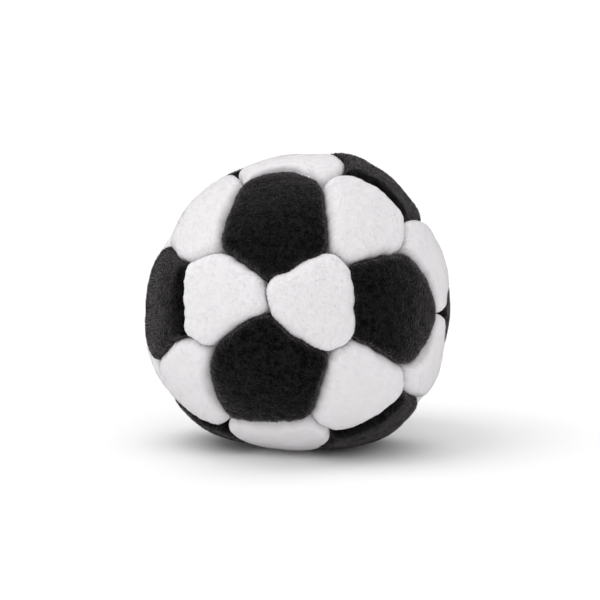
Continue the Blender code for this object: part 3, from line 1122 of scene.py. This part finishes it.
class FOOTBAG_OT_nap(bpy.types.Operator):
    """Raise the nap of the cloth"""
    bl_idname = "footbag.nap"
    bl_label = "Nap"

    def execute(self, context):
        nap = context.scene.footbag_nap
        colours = context.scene.footbag_colours
        panels = all_panels()[0]
        tree = tuft_tree()
        for colour in LOOKS:
            material = tuft_material(colour, getattr(colours, colour))
            values = {"Length": getattr(nap, colour + "_length"), "Width": nap.width,
                      "Density": nap.per_square_mm * 1e6,
                      "Lean": nap.lean, "Brushed": nap.brushed, "Material": material}
            for half in ("upper", "lower"):
                name = f"{colour}_nap_{half}"
                meshes = [bpy.data.objects["sewn_" + panel.name].data for panel in panels
                          if panel.colour == colour
                          and (panel.regular_height > 0) == (half == "upper")]
                tufts = grown(name, joined(name, meshes), tree, values)
                points = read_all(tufts.vertices, "co", np.float32, 3)
                points[:, 2] = np.maximum(points[:, 2], TUFT_FLOOR_GAP)
                tufts.vertices.foreach_set("co", points.reshape(-1))
                tufts.update()
                cell_map(tufts, TUFT_FACES)
                new_piece(name, tufts)
        return {"FINISHED"}


# Thread and filling

def thread_line(black, neighbours, corners):
    """Points and edges under one black panel's seams and the white seams sewn with them."""
    others = neighbours[black]
    lines = []
    for spot, other in enumerate(others):
        start = corners[black, other]
        end = corners[black, others[(spot + 1) % len(others)]]
        lines.append((start, end, 1.0))
        far = corners[other, black]
        if (black < other) == ((black + other) % 2 == 0):
            length = np.linalg.norm(far - start) * (BALL_RADIUS - SEAM_DEPTH - SEAM_ALLOWANCE)
            lines.append((start, far, 1 - THREAD_END / length))
    points = []
    edges = []
    for start, end, reach in lines:
        shares = np.linspace(0, reach, THREAD_STEPS + 1)[:, None]
        directions = unit(start * (1 - shares) + end * shares)
        row = place(directions, SEAM_DEPTH, SEAM_ALLOWANCE + CLEARANCE + THREAD_RADIUS)
        edges += [(len(points) + step, len(points) + step + 1) for step in range(THREAD_STEPS)]
        points += row.tolist()
    return points, edges


class FOOTBAG_OT_threads(bpy.types.Operator):
    """Lay the sewing thread, stitch by stitch, under the turned edges of the panels"""
    bl_idname = "footbag.threads"
    bl_label = "Seam threads"

    def execute(self, context):
        colour = context.scene.footbag_colours.thread
        values = {"Pitch": context.scene.footbag_cloth.stitch_pitch,
                  "Width": context.scene.footbag_filling.thread_width,
                  "Material": plain_material("sewing thread", colour, size=0.0002, roughness=0.6)}
        tree = stitch_tree()
        _, middles, neighbours, corners = all_panels()
        downward = sorted(range(len(middles)), key=lambda black: -middles[black][2])
        for number, black in enumerate(downward, 1):
            line = bpy.data.meshes.new("thread line")
            points, edges = thread_line(black, neighbours, corners)
            line.from_pydata(points, edges, [])
            new_beads(f"stitches_{number:02d}", line, tree, values,
                      f"seam_thread_{number:02d}")
        return {"FINISHED"}


def pellet_places(panels, spacing, half, rng):
    """Loosely packed places that keep clear of the cloth, its turned edges and the floor."""
    steps = math.ceil(2 * BALL_RADIUS / spacing)
    cells = np.stack(np.meshgrid(*[np.arange(-steps, steps)] * 3, indexing="ij"), -1).reshape(-1, 3)
    cells = cells[cells.sum(1) % 2 == 0]
    places = cells * spacing / math.sqrt(2)
    places = places + rng.normal(0, spacing * PELLET_JITTER_SHARE, places.shape)
    distance = np.linalg.norm(places, axis=1)
    outermost = cover_radius(unit(places + TINY)) - FABRIC - CLEARANCE - half
    from_seam = np.full(len(places), -1.0)
    for panel in panels:
        from_seam = np.maximum(from_seam, panel.seam_distances(places + BALL_MIDDLE).min(1))
    clear = from_seam > FABRIC + 2 * CLEARANCE + half
    under_seams = outermost - SEAM_DEPTH - SEAM_ALLOWANCE - 2 * THREAD_RADIUS
    in_pocket = clear & (distance < outermost - (ROLL_WIDTH - from_seam).clip(0, None))
    keep = (distance < under_seams) | in_pocket
    keep &= places[:, 2] + BALL_MIDDLE[2] > FABRIC + CLEARANCE + half
    return places[keep] + BALL_MIDDLE


class FOOTBAG_OT_filling(bpy.types.Operator):
    """Fill the ball with loose pellets"""
    bl_idname = "footbag.filling"
    bl_label = "Pellet filling"

    def execute(self, context):
        filling = context.scene.footbag_filling
        colour = context.scene.footbag_colours.pellets
        values = {"Length": filling.pellet_length, "Width": filling.pellet_width,
                  "Material": plain_material("pellets", colour, size=0.001, roughness=0.4)}
        places = pellet_places(all_panels()[0], filling.pellet_length, filling.pellet_length / 2,
                               np.random.default_rng(4))
        points = bpy.data.meshes.new("pellet places")
        points.from_pydata(places.tolist(), [], [])
        new_beads("pellets", points, pellet_tree(), values, "pellet_filling")
        return {"FINISHED"}


# Stage

class FOOTBAG_OT_stage(bpy.types.Operator):
    """Set up the pale floor, the light and the photograph's camera"""
    bl_idname = "footbag.stage"
    bl_label = "Floor, light and camera"

    def execute(self, context):
        stage = context.scene.footbag_stage
        scene = context.scene
        scene.view_settings.view_transform = "Standard"

        def build(nodes, surface, coordinates):
            nodes.feed(surface, {"Base Color": (*stage.floor_colour, 1.0), "Roughness": 1.0,
                                 "Specular IOR Level": 0.0})

        half = stage.floor_size / 2
        corners = np.array(((-half, -half, 0), (half, -half, 0), (half, half, 0), (-half, half, 0)))
        floor_mesh = new_mesh("floor", corners, [(0, 1, 2, 3)], new_material("floor", build))
        floor = new_object("floor", floor_mesh)

        world = bpy.data.worlds.new("studio")
        scene.world = world
        world.use_nodes = True
        nodes = Nodes(world.node_tree)
        seen = Number(nodes, nodes.add("ShaderNodeLightPath").outputs["Is Camera Ray"])
        strength = seen * (1 - stage.sky_strength) + stage.sky_strength
        nodes.feed(world.node_tree.nodes["Background"],
                   {"Color": (1.0, 1.0, 1.0, 1.0), "Strength": strength})

        for name, direction, power in LAMPS:
            lamp = bpy.data.lights.new(name, "SUN")
            lamp.energy = getattr(stage, power)
            lamp.angle = math.radians(stage.lamp_spread_deg)
            holder = new_object(name, lamp)
            holder.rotation_mode = "QUATERNION"
            holder.rotation_quaternion = Vector(direction).to_track_quat("Z", "Y")

        toward = view_axes()[2]
        lens = bpy.data.cameras.new("camera")
        half_frame = FRAME_PX / 2 / BALL_RADIUS_PX * BALL_SPREAD
        lens.lens = lens.sensor_width / 2 / half_frame
        lens.shift_x = (FRAME_PX / 2 - BALL_MIDDLE_PX[0]) / FRAME_PX
        lens.shift_y = (BALL_MIDDLE_PX[1] - FRAME_PX / 2) / FRAME_PX
        lens.clip_start = CAMERA_CLIP_START
        camera = new_object("camera", lens)
        camera.location = BALL_MIDDLE + toward * CAMERA_DISTANCE
        camera.rotation_mode = "QUATERNION"
        camera.rotation_quaternion = Vector(toward).to_track_quat("Z", "Y")
        scene.camera = camera
        return {"FINISHED"}


class FOOTBAG_PT_sidebar(bpy.types.Panel):
    """Buttons and values of the footbag, in the 3D view's sidebar"""
    bl_label = "Footbag"
    bl_idname = "FOOTBAG_PT_sidebar"
    bl_space_type = "VIEW_3D"
    bl_region_type = "UI"
    bl_category = "Footbag"

    def draw(self, context):
        for operator in OPERATORS:
            self.layout.operator(operator.bl_idname)
        for name, group in GROUPS.items():
            box = self.layout.box()
            box.label(text=group.__doc__)
            for key in group.__annotations__:
                box.prop(getattr(context.scene, name), key)


OPERATORS = (FOOTBAG_OT_panels, FOOTBAG_OT_nap, FOOTBAG_OT_threads, FOOTBAG_OT_filling,
             FOOTBAG_OT_stage)
GROUPS = {
    "footbag_cloth": FootbagCloth,
    "footbag_nap": FootbagNap,
    "footbag_filling": FootbagFilling,
    "footbag_colours": FootbagColours,
    "footbag_stage": FootbagStage,
}


def register():
    for name, group in GROUPS.items():
        bpy.utils.register_class(group)
        setattr(bpy.types.Scene, name, PointerProperty(type=group))
    for operator in OPERATORS:
        bpy.utils.register_class(operator)
    bpy.utils.register_class(FOOTBAG_PT_sidebar)


def unregister():
    bpy.utils.unregister_class(FOOTBAG_PT_sidebar)
    for operator in OPERATORS:
        bpy.utils.unregister_class(operator)
    for name, group in GROUPS.items():
        delattr(bpy.types.Scene, name)
        bpy.utils.unregister_class(group)


def main():
    register()
    bpy.ops.footbag.panels()
    bpy.ops.footbag.nap()
    bpy.ops.footbag.threads()
    bpy.ops.footbag.filling()
    bpy.ops.footbag.stage()


if __name__ == "__main__":
    main()
